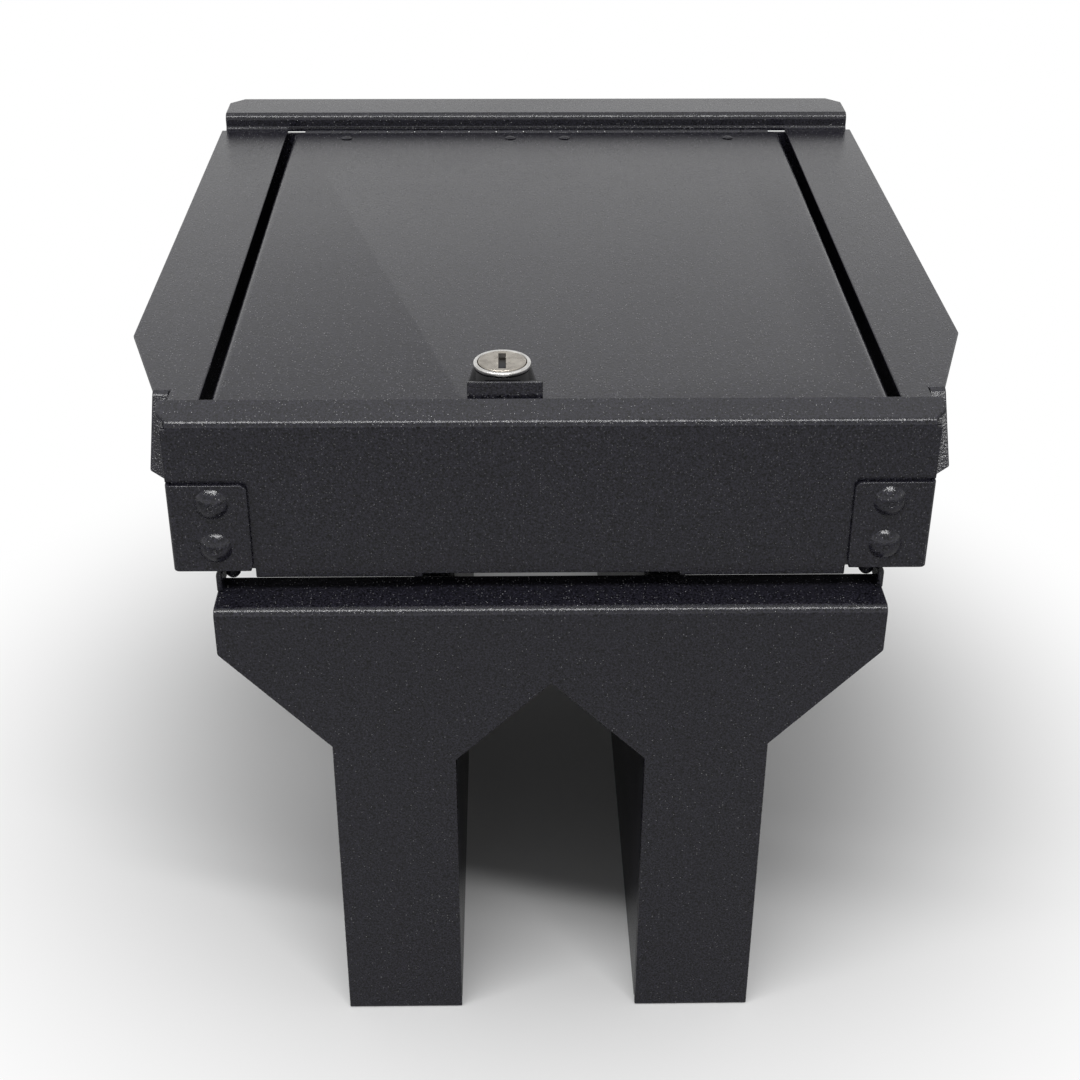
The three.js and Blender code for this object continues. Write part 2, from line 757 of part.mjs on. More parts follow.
addPiece("lid_panel", makeLid(), satinBlack);
addPiece("lock_collar", makeCollar(), glossBlack);
addPiece("lock_barrel", makeBarrel(), brightMetal);
addPiece("lock_nut", makeNut(), dullSteel);
addPiece("lock_plug", makePlug(), brightMetal);
addPiece("lock_cam", makeCam(), dullSteel);
addPiece("cam_screw", makeCamScrew(), dullSteel);

const bracket = makeLegBracket();
addPiece("front_leg_bracket", bracket, satinBlack);
addPiece("rear_leg_bracket", bracket.mirror([0, 1, 0]).translate([0, 2 * boxMiddle, 0]), satinBlack);

const rail = makeRail();
addPiece("right_rail", rail, satinBlack);
addPiece("left_rail", rail.mirror([1, 0, 0]), satinBlack);

const angle = makeSupportAngle();
addPiece("right_support_angle", angle, satinBlack);
addPiece("left_support_angle", angle.mirror([1, 0, 0]), satinBlack);

const floorRivetShape = rivet(floorRivet, boxSheet + standSheet + 3 * seam);
floorRivetPlaces.forEach(([x, y], i) => {
  addPiece(`floor_rivet_${i + 1}`, floorRivetShape.translate([x, y, floorTop + seam]), satinBlack);
});

safe.position.set(0, -wholeMiddle, -standBottom);

export default safe;
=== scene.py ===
import json
import math

import bmesh
import bpy
from bpy.props import FloatProperty, FloatVectorProperty, IntProperty, PointerProperty
from mathutils import Matrix, Vector
from mathutils.bvhtree import BVHTree


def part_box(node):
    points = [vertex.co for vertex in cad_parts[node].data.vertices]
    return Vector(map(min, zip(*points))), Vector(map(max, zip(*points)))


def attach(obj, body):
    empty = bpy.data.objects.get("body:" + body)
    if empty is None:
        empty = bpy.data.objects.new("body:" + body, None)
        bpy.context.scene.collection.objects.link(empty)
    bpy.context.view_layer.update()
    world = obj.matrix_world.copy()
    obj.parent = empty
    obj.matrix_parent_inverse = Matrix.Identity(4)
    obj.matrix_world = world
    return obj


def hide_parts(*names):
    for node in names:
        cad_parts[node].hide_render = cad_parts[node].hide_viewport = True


bl_info = {
    "name": "Console Safe Dressing",
    "version": (1, 0, 0),
    "blender": (4, 5, 0),
    "location": "3D View > Sidebar > Console Safe",
    "description": "Coated sheet, piano hinge, rivets, cam lock and studio for a console safe",
    "category": "Object",
}

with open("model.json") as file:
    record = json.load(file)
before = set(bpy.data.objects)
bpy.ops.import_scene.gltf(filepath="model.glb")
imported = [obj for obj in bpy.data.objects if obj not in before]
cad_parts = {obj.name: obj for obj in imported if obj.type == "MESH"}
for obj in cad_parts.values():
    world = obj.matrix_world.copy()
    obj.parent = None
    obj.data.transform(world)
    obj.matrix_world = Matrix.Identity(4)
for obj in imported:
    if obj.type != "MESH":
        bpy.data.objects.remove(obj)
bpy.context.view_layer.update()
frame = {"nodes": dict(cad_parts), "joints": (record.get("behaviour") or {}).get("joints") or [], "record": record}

MM = 0.001
BODY_OF = {
    node: body
    for body, nodes in frame["record"]["behaviour"]["bodies"].items()
    for node in nodes
}
SHEET_NODES = (
    "top_frame", "box_shell", "front_wall", "latch_strike", "lid_panel",
    "front_leg_bracket", "rear_leg_bracket", "right_rail", "left_rail",
    "right_support_angle", "left_support_angle",
)
HINGE_AXIS = Vector(frame["joints"][0]["pos_m"])
LOCK_AXIS = Vector(frame["joints"][1]["pos_m"])
LOCK_X, LOCK_Y = LOCK_AXIS.x, LOCK_AXIS.y

# Radii of the lock's pieces, which their boxes don't give
COLLAR_BORE = 9.3 * MM
COLLAR_CROWN = 9.5 * MM
BARREL_RADIUS = 9 * MM
PLUG_HEAD = 8 * MM
PLUG_BODY = 6.8 * MM
PLUG_GROOVE = 2.6 * MM
LOCK_PLAY = 0.3 * MM
# Heights in the lock: the ring's flange, the plug's head, and the collar's upright foot
RING_HEIGHT = 1.4 * MM
HEAD_HEIGHT = 1.8 * MM
COLLAR_FOOT = 1.0 * MM
# The thread starts above the barrel's end and stops above the lid's lower edge
THREAD_START = 0.8 * MM
THREAD_END = 10.8 * MM
# The plug's round body ends above the foot of its square end, which reaches a little into it
ROUND_END = 2.7 * MM
SQUARE_HEIGHT = 3.2 * MM
SQUARE_HALF = 3.5 * MM
# The key slot, its chamfer, and the dark half-round piece in it that stands in for the slot's shadow
SLOT_DEPTH = 6 * MM
SLOT_CHAMFER = 0.28 * MM
SLOT_SHADOW_SHARE = 0.46
SLOT_SHADOW_DEPTH = 2.4 * MM
SLOT_SHADOW_CROWN = 0.9 * MM
SLOT_SHADOW_FLOOR = 5.5 * MM
SLOT_SHADOW_STEPS = 16

# The piano hinge: how far a knuckle's sheet rolls, and how the lid's leaf rises into it
CURL_DEGREES = 300
CURL_STEPS = 20
LID_CURL_START = -40
LEAF_DROP = -0.25 * MM
LEAF_RISE = ((-2.2 * MM, 0.35 * MM), (-1.7 * MM, 0.95 * MM))
LEAF_EDGE = 0.12 * MM
LEAF_ANGLE = 40
PIN_EDGE = 0.3 * MM
PIN_STEPS = 24

# Sizes of each kind of rivet; a corner rivet's head comes from its settings
CORNER_RIVET = {
    "shank": 2.4 * MM, "grip": 3.9 * MM, "tail_radius": 3.4 * MM, "tail_length": 5 * MM,
}
HINGE_RIVET = {
    "radius": 2.6 * MM, "height": 0.7 * MM,
    "shank": 1.5 * MM, "grip": 3.3 * MM, "tail_radius": 2.2 * MM, "tail_length": 1 * MM,
}
FLOOR_RIVET = {
    "radius": 4.5 * MM, "height": 1.5 * MM,
    "shank": 2 * MM, "grip": 4.4 * MM, "tail_radius": 2.5 * MM, "tail_length": 4 * MM,
}
DOME_RINGS = 14
# The fillet round a head's rim, as a share of the head's radius
RIM_SHARE = 0.04
# The mandrel's end in a large head, as shares of its radius: how far out, how deep
MANDREL_END = ((0, 0.25), (0.45, 0.28), (0.62, 0.5), (0.8, 0.5), (0.95, 0.3))

# Edges of the nut, the cam and the screw, and of the plug's square end
HARDWARE_EDGE = 0.25 * MM
SQUARE_EDGE = 0.4 * MM

# Edges that turn by more than this are rounded
SHARP_DEGREES = 33
# A rounded corner stays closer to its sheet than this share of its radius
STRAY_SHARE = 0.6
# Faces wider than this are flats, narrower ones are strips of a bend
FLAT_WIDTH = 0.95 * MM
# Neighbouring faces that turn by less than this are shaded as one surface
SMOOTH_ANGLE = math.radians(50)
# Points closer than this are one point, in the CAD's facets and in new pieces
SAME_CAD_POINT = 2e-6
SAME_POINT = 1e-7

# The powder coat: shades of its grain as shares of the coat's colour, partly painted shade and light, and the pale
# colour of its flecks, which are painted glints
GRAIN_DARK = 0.1
GRAIN_LIGHT = 4.2
GLINT_PAINT_SHARE = 1.2
GLINT_PAINT_WHITE = 0.34
GLINT_PAINT_FALL = 1.5
FLECK_HEIGHT = 1.8
SHEEN_WANDER = 0.03
GRAIN_GLOSS = 0.15
GRAIN_SHARE = 0.3
# Heights between which the grain turns from its dark to its light shade, partly the coat's own uneven tone and
# partly shade painted into its hollows and light onto its peaks
GRAIN_LOW, GRAIN_HIGH = 0.45, 1.0
# How much of a grain's height is its own peak, and how far out its glint reaches
GRAIN_PEAK = 0.35
GLINT_CORE, GLINT_RIM = 0.1, 0.3
# Width of the clouds in the coat's sheen, in metres
SHEEN_CLOUD = 0.045
# On the domes of the rivets the coat is smoother by this much
RIVET_SMOOTHER = 0.04

# The plain finishes: the width of their clouds in metres, and the roughness and the colour
# between which these change
ENAMEL = {
    "size": 0.006, "sheen": (0.08, 0.16),
    "shades": ((0.004, 0.004, 0.0045, 1), (0.007, 0.007, 0.008, 1)),
}
NICKEL = {
    "size": 0.0035, "sheen": (0.22, 0.34),
    "shades": ((0.70, 0.69, 0.665, 1), (0.84, 0.83, 0.81, 1)),
}
HANDLED_NICKEL = {
    "size": 0.0035, "sheen": (0.22, 0.34),
    "shades": ((0.36, 0.33, 0.29, 1), (0.58, 0.54, 0.48, 1)),
}
ZINC = {
    "size": 0.004, "sheen": (0.32, 0.48),
    "shades": ((0.40, 0.41, 0.43, 1), (0.56, 0.56, 0.55, 1)),
}
# Near-black of the piece in the key slot, which paints the slot's shadow
SLOT_SHADOW_LOOK = {
    "size": 0.001, "sheen": (0.3, 0.5),
    "shades": ((0.03, 0.03, 0.033, 1), (0.07, 0.07, 0.075, 1)),
}
# Colour of the nickel's pits, their width and their share, and colour of the zinc's lines
NICKEL_PIT = (0.42, 0.40, 0.37, 1)
PIT_SIZE = 0.00045
PIT_SHARE = 0.1
ZINC_LINE = (0.33, 0.33, 0.34, 1)
# Rings that the lathe left in the nickel's face, in each metre of radius
LATHE_RINGS = 5200.0
# Width of the waves in the enamel
ENAMEL_WAVE = 0.0025
# Depth of the relief in plate and enamel, and in the other steel, in metres
PLATE_DEPTH = 0.00001
STEEL_DEPTH = 0.00002

# The floor: its radius, its gap under the feet, how dim its clouds are, and where it fades
FLOOR_RADIUS = 6
FLOOR_GAP = 0.0003
FLOOR_CLOUD = 0.985
FADE_START = 0.12
FADE_END = 0.34
# Place, target, width and depth of each softbox
SOFTBOXES = {
    "key": ((-0.15, -0.68, 1.38), (0, -0.12, 0.2), 1.5, 0.12),
    "overhead": ((0.0, 0.1, 1.3), (0, 0, 0.2), 1.3, 0.8),
    "rear": ((0.0, 1.7, 0.72), (0, 0, 0.2), 2.4, 0.7),
}
SENSOR_WIDTH = 36


# Sizes and colours that a user would change

class CoatSettings(bpy.types.PropertyGroup):
    """The powder coat of the sheet and the rivets"""
    colour: FloatVectorProperty(
        name="Coat colour", description="Colour of the powder coat", subtype="COLOR",
        size=3, min=0, max=1, default=(0.0080, 0.0077, 0.0112),
    )
    roughness: FloatProperty(
        name="Roughness", description="Mean roughness of the coat", subtype="FACTOR",
        min=0, max=1, default=0.2,
    )
    grain: FloatProperty(
        name="Grain size", description="Width of one grain of the sand texture",
        unit="LENGTH", min=0.0001, max=0.003, default=0.0007,
    )
    grain_depth: FloatProperty(
        name="Grain depth", description="Height of the sand texture", unit="LENGTH",
        min=0, max=0.001, default=0.00008,
    )
    # The chosen grains are raised, and their colour is lightened as painted glints
    fleck_share: FloatProperty(
        name="Glint share", description="Share of the grains that catch the light",
        subtype="FACTOR", min=0, max=1, default=0.45,
    )
    fleck_spacing: FloatProperty(
        name="Glint spacing", description="Distance from one light grain to the next",
        unit="LENGTH", min=0.0002, max=0.01, default=0.0009,
    )


class EdgeSettings(bpy.types.PropertyGroup):
    """The rounded edges of the folded sheet"""
    radius: FloatProperty(
        name="Edge radius", description="How far the coat rounds a cut edge",
        unit="LENGTH", min=0.00005, max=0.001, default=0.0004,
    )
    steps: IntProperty(
        name="Edge steps", description="Facets across a rounded edge", min=1, max=6, default=3,
    )


class HingeSettings(bpy.types.PropertyGroup):
    """The piano hinge"""
    knuckles: IntProperty(
        name="Knuckles", description="Knuckles of both leaves together",
        min=3, max=61, default=17,
    )
    sheet: FloatProperty(
        name="Leaf thickness", description="Thickness of the rolled sheet", unit="LENGTH",
        min=0.0003, max=0.003, default=0.0009,
    )
    leaf_width: FloatProperty(
        name="Leaf width", description="From the pin's middle to the leaf's free edge",
        unit="LENGTH", min=0.005, max=0.05, default=0.018,
    )
    barrel_radius: FloatProperty(
        name="Barrel radius", description="Outer radius of the knuckles", unit="LENGTH",
        min=0.001, max=0.01, default=0.0024,
    )
    relief: FloatProperty(
        name="Relief", description="Room between a leaf and the other leaf's knuckles",
        unit="LENGTH", min=0.0001, max=0.002, default=0.00045,
    )
    gap: FloatProperty(
        name="Knuckle gap", description="Gap between neighbouring knuckles", unit="LENGTH",
        min=0.0001, max=0.002, default=0.0004,
    )


class RivetSettings(bpy.types.PropertyGroup):
    """The rivets, and the heads of the four large ones"""
    corner_radius: FloatProperty(
        name="Corner rivet radius", description="Radius of the four large dome heads",
        unit="LENGTH", min=0.002, max=0.01, default=0.0057,
    )
    corner_height: FloatProperty(
        name="Corner rivet height", description="Height of the four large dome heads",
        unit="LENGTH", min=0.0005, max=0.005, default=0.0031,
    )
    mandrel: FloatProperty(
        name="Mandrel radius", description="Radius of the mandrel's end in the large heads",
        unit="LENGTH", min=0, max=0.003, default=0.0011,
    )
    steps: IntProperty(
        name="Steps", description="Facets round a rivet", min=12, max=96, default=48,
    )


class LockSettings(bpy.types.PropertyGroup):
    """The cam lock"""
    steps: IntProperty(
        name="Steps", description="Facets round the lock", min=24, max=192, default=96,
    )
    slot_length: FloatProperty(
        name="Key slot length", description="Length of the key slot", unit="LENGTH",
        min=0.004, max=0.014, default=0.012,
    )
    slot_width: FloatProperty(
        name="Key slot width", description="Width of the key slot", unit="LENGTH",
        min=0.001, max=0.004, default=0.0024,
    )
    thread_pitch: FloatProperty(
        name="Thread pitch", description="Pitch of the barrel's thread", unit="LENGTH",
        min=0.0003, max=0.003, default=0.001,
    )


class StageSettings(bpy.types.PropertyGroup):
    """The camera, the lamps and the floor"""
    lens: FloatProperty(
        name="Lens", description="Focal length in mm on a 36 mm sensor",
        min=10, max=300, default=59.42,
    )
    camera_place: FloatVectorProperty(
        name="Camera place", description="Where the camera stands", subtype="XYZ",
        unit="LENGTH", size=3, default=(-0.0141, -0.6711, 0.5068),
    )
    camera_turn: FloatVectorProperty(
        name="Camera pitch, yaw and roll", description="Degrees down, to the right and round",
        size=3, default=(30.7, 1.15, 0.25),
    )
    floor_colour: FloatVectorProperty(
        name="Floor colour", description="Colour of the pale floor", subtype="COLOR",
        size=3, min=0, max=1, default=(0.86, 0.86, 0.86),
    )
    key: FloatProperty(
        name="Key lamp", description="Power of the softbox over the front", unit="POWER",
        min=0, max=500, default=13,
    )
    rear: FloatProperty(
        name="Rear lamp", description="Power of the softbox behind the safe", unit="POWER",
        min=0, max=500, default=0.7,
    )
    overhead: FloatProperty(
        name="Overhead lamp", description="Power of the weak softbox above the safe",
        unit="POWER", min=0, max=500, default=2.0,
    )
    horizon_low: FloatProperty(
        name="Horizon", description="Sine of the height up to which the room is white",
        min=0, max=1, default=0.12,
    )
    horizon_high: FloatProperty(
        name="Ceiling edge", description="Sine of the height above which the room is dim",
        min=0, max=1, default=0.52,
    )
    floor_mirrored: FloatProperty(
        name="Floor in reflections", description="Share of the floor's shade that reflections show",
        subtype="FACTOR", min=0, max=1, default=0.58,
    )
    ceiling: FloatProperty(
        name="Ceiling light", description="Strength of the dim ceiling in reflections",
        min=0, max=1, default=0.6,
    )
    room: FloatProperty(
        name="Room light", description="Strength of the world's light on the safe",
        min=0, max=2, default=0.3,
    )


SETTINGS = {
    "safe_coat": CoatSettings,
    "safe_edge": EdgeSettings,
    "safe_hinge": HingeSettings,
    "safe_rivet": RivetSettings,
    "safe_lock": LockSettings,
    "safe_stage": StageSettings,
}


# Node trees

class Tree:
    """Adds linked nodes to a material, group or world tree in few words."""

    def __init__(self, tree):
        self.tree = tree

    def add(self, kind, inputs=None, **values):
        node = self.tree.nodes.new(kind)
        for key, value in values.items():
            setattr(node, key, value)
        for key, value in (inputs or {}).items():
            self.feed(node.inputs[key], value)
        return node

    def feed(self, socket, value):
        if isinstance(value, bpy.types.NodeSocket):
            self.tree.links.new(value, socket)
        else:
            socket.default_value = value

    def math(self, operation, *terms, clamp=False):
        node = self.add("ShaderNodeMath", operation=operation, use_clamp=clamp)
        for socket, term in zip(node.inputs, terms):
            self.feed(socket, term)
        return node.outputs[0]

    def mix(self, factor, low, high):
        node = self.add("ShaderNodeMix", data_type="RGBA")
        self.feed(node.inputs[0], factor)
        self.feed(node.inputs[6], low)
        self.feed(node.inputs[7], high)
        return node.outputs[2]

    def spread(self, value, low, high, to_low, to_high):
        node = self.add("ShaderNodeMapRange", {
            "Value": value, "From Min": low, "From Max": high, "To Min": to_low, "To Max": to_high,
        })
        return node.outputs[0]

    def bump(self, shader, height, depth, strength):
        node = self.add("ShaderNodeBump", {
            "Height": height, "Distance": depth, "Strength": strength,
        })
        self.feed(shader.inputs["Normal"], node.outputs[0])

    def group(self, make, **inputs):
        node = self.add("ShaderNodeGroup", node_tree=make())
        for key, value in inputs.items():
            self.feed(node.inputs[key.replace("_", " ").capitalize()], value)
        return node.outputs


def node_group(name, inputs, outputs, build):
    """The named shader node group, built the first time that it is asked for."""
    if name in bpy.data.node_groups:
        return bpy.data.node_groups[name]
    group = bpy.data.node_groups.new(name, "ShaderNodeTree")
    for label, kind, default in inputs:
        socket = group.interface.new_socket(label, in_out="INPUT", socket_type=kind)
        if default is not None:
            socket.default_value = default
    for label, kind in outputs:
        group.interface.new_socket(label, in_out="OUTPUT", socket_type=kind)
    tree = Tree(group)
    start = tree.add("NodeGroupInput")
    end = tree.add("NodeGroupOutput")
    build(tree, start.outputs, end.inputs)
    return group


def sand_grain():
    """Grains of a textured coat: their height, and the few that catch the light."""
    def build(tree, given, out):
        density = tree.math("DIVIDE", 1.0, given["Grain"])
        fine = tree.add("ShaderNodeTexNoise", {
            "Vector": given["Place"], "Scale": density, "Detail": 2.0, "Roughness": 0.6,
        })
        cells = tree.add("ShaderNodeTexVoronoi", {"Vector": given["Place"], "Scale": density})
        near = tree.math("SUBTRACT", 1.0, cells.outputs["Distance"])
        peak = tree.math("MULTIPLY", near, GRAIN_PEAK)
        tree.feed(out["Height"], tree.math("ADD", fine.outputs[0], peak))
        colour = tree.add("ShaderNodeSeparateColor", {"Color": cells.outputs["Color"]})
        level = tree.math("SUBTRACT", 1.0, given["Share"])
        chosen = tree.math("GREATER_THAN", colour.outputs[0], level)
        core = tree.spread(cells.outputs["Distance"], GLINT_CORE, GLINT_RIM, 1.0, 0.0)
        glint = tree.math("MULTIPLY", chosen, core, clamp=True)
        tree.feed(out["Glint"], tree.math("MULTIPLY", glint, colour.outputs[1]))
    return node_group(
        "Sand Grain",
        (("Place", "NodeSocketVector", None), ("Grain", "NodeSocketFloat", 0.0006),
         ("Share", "NodeSocketFloat", 0.06)),
        (("Height", "NodeSocketFloat"), ("Glint", "NodeSocketFloat")),
        build,
    )


def cloudiness():
    """Slow change over a surface, as in the sheen and colour of a sprayed or plated part."""
    def build(tree, given, out):
        density = tree.math("DIVIDE", 1.0, given["Size"])
        cloud = tree.add("ShaderNodeTexNoise", {
            "Vector": given["Place"], "Scale": density, "Detail": 3.0, "Roughness": 0.5,
        })
        tree.feed(out["Cloud"], tree.spread(cloud.outputs[0], 0.3, 0.7, 0.0, 1.0))
    return node_group(
        "Cloudiness",
        (("Place", "NodeSocketVector", None), ("Size", "NodeSocketFloat", 0.05)),
        (("Cloud", "NodeSocketFloat"),),
        build,
    )


def hairlines():
    """Fine lines along one direction: the height and a mask of the deeper ones."""
    def build(tree, given, out):
        stretched = tree.add("ShaderNodeVectorMath", operation="MULTIPLY")
        tree.feed(stretched.inputs[0], given["Place"])
        tree.feed(stretched.inputs[1], given["Density"])
        lines = tree.add("ShaderNodeTexNoise", {
            "Vector": stretched.outputs[0], "Scale": 1.0, "Detail": 3.0, "Roughness": 0.7,
        })
        tree.feed(out["Height"], lines.outputs[0])
        tree.feed(out["Deep"], tree.spread(lines.outputs[0], 0.6, 0.72, 0.0, 1.0))
    return node_group(
        "Hairlines",
        (("Place", "NodeSocketVector", None), ("Density", "NodeSocketVector", (6000, 150, 6000))),
        (("Height", "NodeSocketFloat"), ("Deep", "NodeSocketFloat")),
        build,
    )


def new_material(name):
    """A new material, its tree, its shader, and the place on the safe in metres."""
    material = bpy.data.materials.new(name)
    material.use_nodes = True
    tree = Tree(material.node_tree)
    shader = material.node_tree.nodes["Principled BSDF"]
    place = tree.add("ShaderNodeTexCoord").outputs["Object"]
    return material, tree, shader, place


def satin_black():
    """Fine-textured satin black powder coat of the sheet."""
    return powder_coat("satin_black_coat", 0)


def rivet_black():
    """The same coat, which lies a little smoother on the domes of the rivets."""
    return powder_coat("rivet_black_coat", RIVET_SMOOTHER)


def powder_coat(name, smoother):
    """Black coat with a sandy grain, raised flecks that are painted pale as glints, and an uneven sheen."""
    coat = bpy.context.scene.safe_coat
    material, tree, shader, place = new_material(name)
    grain = tree.group(sand_grain, place=place, grain=coat.grain, share=GRAIN_SHARE)
    flecks = tree.group(sand_grain, place=place, grain=coat.fleck_spacing, share=coat.fleck_share)
    cloud = tree.group(cloudiness, place=place, size=SHEEN_CLOUD)[0]
    # Darker in the grain's hollows and lighter on its peaks: partly the coat's own tone, partly painted shade and
    # light
    dark = [c * GRAIN_DARK for c in coat.colour] + [1]
    light = [c * GRAIN_LIGHT for c in coat.colour] + [1]
    # Pale colour of the flecks: painted glints mixed into the coat's colour
    pale = [c * GLINT_PAINT_SHARE + GLINT_PAINT_WHITE for c in coat.colour] + [1]
    shade = tree.spread(grain["Height"], GRAIN_LOW, GRAIN_HIGH, 0.0, 1.0)
    base = tree.mix(shade, dark, light)
    painted_glint = tree.math("POWER", flecks["Glint"], GLINT_PAINT_FALL)
    tree.feed(shader.inputs["Base Color"], tree.mix(painted_glint, base, pale))
    mean = coat.roughness - smoother
    sheen = tree.spread(cloud, 0.0, 1.0, mean - SHEEN_WANDER, mean + SHEEN_WANDER)
    gloss = tree.math("MULTIPLY", grain["Glint"], GRAIN_GLOSS)
    tree.feed(shader.inputs["Roughness"], tree.math("SUBTRACT", sheen, gloss, clamp=True))
    shader.inputs["Specular IOR Level"].default_value = 0.5
    raised = tree.math("MULTIPLY", flecks["Glint"], FLECK_HEIGHT)
    tree.bump(shader, tree.math("ADD", grain["Height"], raised), coat.grain_depth, 1.0)
    return material


def clouded(tree, shader, place, size, sheen, shades):
    """Lets a plain finish's sheen change slowly, and gives back its clouds and its colour."""
    cloud = tree.group(cloudiness, place=place, size=size)[0]
    tree.feed(shader.inputs["Roughness"], tree.spread(cloud, 0.0, 1.0, *sheen))
    return cloud, tree.mix(cloud, *shades)


def gloss_black():
    """Smooth gloss black of the lock's collar."""
    material, tree, shader, place = new_material("gloss_black_enamel")
    _, shade = clouded(tree, shader, place, **ENAMEL)
    tree.feed(shader.inputs["Base Color"], shade)
    shader.inputs["Specular IOR Level"].default_value = 0.25
    wave = tree.group(cloudiness, place=place, size=ENAMEL_WAVE)[0]
    tree.bump(shader, wave, PLATE_DEPTH, 0.6)
    return material


def lock_metal():
    """Satin nickel plate of the ring and the barrel."""
    return nickel("lock_nickel", NICKEL)


def plug_metal():
    """The plug's warmer, more handled nickel."""
    return nickel("plug_nickel", HANDLED_NICKEL)


def nickel(name, look):
    """Nickel plate with the lathe's rings in its face and small pits."""
    material, tree, shader, place = new_material(name)
    centred = tree.add("ShaderNodeVectorMath", operation="SUBTRACT")
    tree.feed(centred.inputs[0], place)
    centred.inputs[1].default_value = (LOCK_X, LOCK_Y, 0)
    parts = tree.add("ShaderNodeSeparateXYZ", {"Vector": centred.outputs[0]})
    flat = tree.add("ShaderNodeCombineXYZ", {"X": parts.outputs[0], "Y": parts.outputs[1]})
    length = tree.add("ShaderNodeVectorMath", operation="LENGTH")
    tree.feed(length.inputs[0], flat.outputs[0])
    rings = tree.add("ShaderNodeTexNoise", {
        "W": length.outputs["Value"], "Scale": LATHE_RINGS, "Detail": 2.0,
    }, noise_dimensions="1D")
    pits = tree.group(sand_grain, place=place, grain=PIT_SIZE, share=PIT_SHARE)
    _, shade = clouded(tree, shader, place, **look)
    tree.feed(shader.inputs["Base Color"], tree.mix(pits["Glint"], shade, NICKEL_PIT))
    shader.inputs["Metallic"].default_value = 1.0
    ridges = tree.math("MULTIPLY", rings.outputs[0], 0.6)
    hollows = tree.math("MULTIPLY", pits["Height"], 0.5)
    tree.bump(shader, tree.math("ADD", ridges, hollows), PLATE_DEPTH, 0.6)
    return material


def plain_steel():
    """Zinc-plated steel of the hidden hardware."""
    material, tree, shader, place = new_material("zinc_steel")
    lines = tree.group(hairlines, place=place)
    _, shade = clouded(tree, shader, place, **ZINC)
    tree.feed(shader.inputs["Base Color"], tree.mix(lines["Deep"], shade, ZINC_LINE))
    shader.inputs["Metallic"].default_value = 1.0
    tree.bump(shader, lines["Height"], STEEL_DEPTH, 0.6)
    return material


def slot_shadow_finish():
    """Near-black steel of the piece in the key slot, a painted shadow in the slot."""
    material, tree, shader, place = new_material("slot_steel")
    cloud, shade = clouded(tree, shader, place, **SLOT_SHADOW_LOOK)
    tree.feed(shader.inputs["Base Color"], shade)
    shader.inputs["Metallic"].default_value = 1.0
    tree.bump(shader, cloud, STEEL_DEPTH, 0.5)
    return material


FINISHES = {
    "satin_black": satin_black,
    "rivet_black": rivet_black,
    "gloss_black": gloss_black,
    "lock_metal": lock_metal,
    "plain_steel": plain_steel,
    "plug_metal": plug_metal,
    # The slot finish is the near-black of the painted shadow in the key slot
    "slot": slot_shadow_finish,
}
made_finishes = {}


def finish_of(name):
    """The finish's material, made the first time that a piece asks for it."""
    if name not in made_finishes:
        made_finishes[name] = FINISHES[name]()
    return made_finishes[name]


# Meshes

def new_piece(name, points, faces, finish, body, *nodes, slot=None):
    """A smooth-shaded piece in metres that rides on its body and stands for its CAD nodes."""
    mesh = bpy.data.meshes.new(name)
    mesh.from_pydata(points, [], faces)
    bm = bmesh.new()
    bm.from_mesh(mesh)
    bmesh.ops.remove_doubles(bm, verts=bm.verts, dist=SAME_POINT)
    bmesh.ops.recalc_face_normals(bm, faces=bm.faces)
    bm.to_mesh(mesh)
    bm.free()
    mesh.shade_smooth()
    piece = bpy.data.objects.new(name, mesh)
    bpy.context.scene.collection.objects.link(piece)
    mesh.materials.append(finish_of(finish))
    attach(piece, body)
    if nodes:
        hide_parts(*nodes)
    return piece


def round_edges(piece, radius, steps, angle=SHARP_DEGREES):
    """Rounds the sharp edges of a piece, with its modifiers applied first."""
    if piece.modifiers:
        evaluated = piece.evaluated_get(bpy.context.evaluated_depsgraph_get())
        whole = bpy.data.meshes.new_from_object(evaluated)
        piece.modifiers.clear()
        piece.data = whole
    bm = bmesh.new()
    bm.from_mesh(piece.data)
    surface = BVHTree.FromBMesh(bm)
    limit = math.radians(angle)
    sharp = [e for e in bm.edges if e.is_manifold and e.calc_face_angle() > limit]
    bmesh.ops.bevel(
        bm, geom=sharp, offset=radius, offset_type="OFFSET", segments=steps, profile=0.5,
        affect="EDGES", clamp_overlap=False, material=1,
    )
    for v in bm.verts:
        near, _, _, away = surface.find_nearest(v.co)
        if away > radius * STRAY_SHARE:
            v.co = near
    bmesh.ops.dissolve_degenerate(bm, dist=SAME_CAD_POINT, edges=bm.edges)
    set_normals(piece.data, bm)
    bm.free()


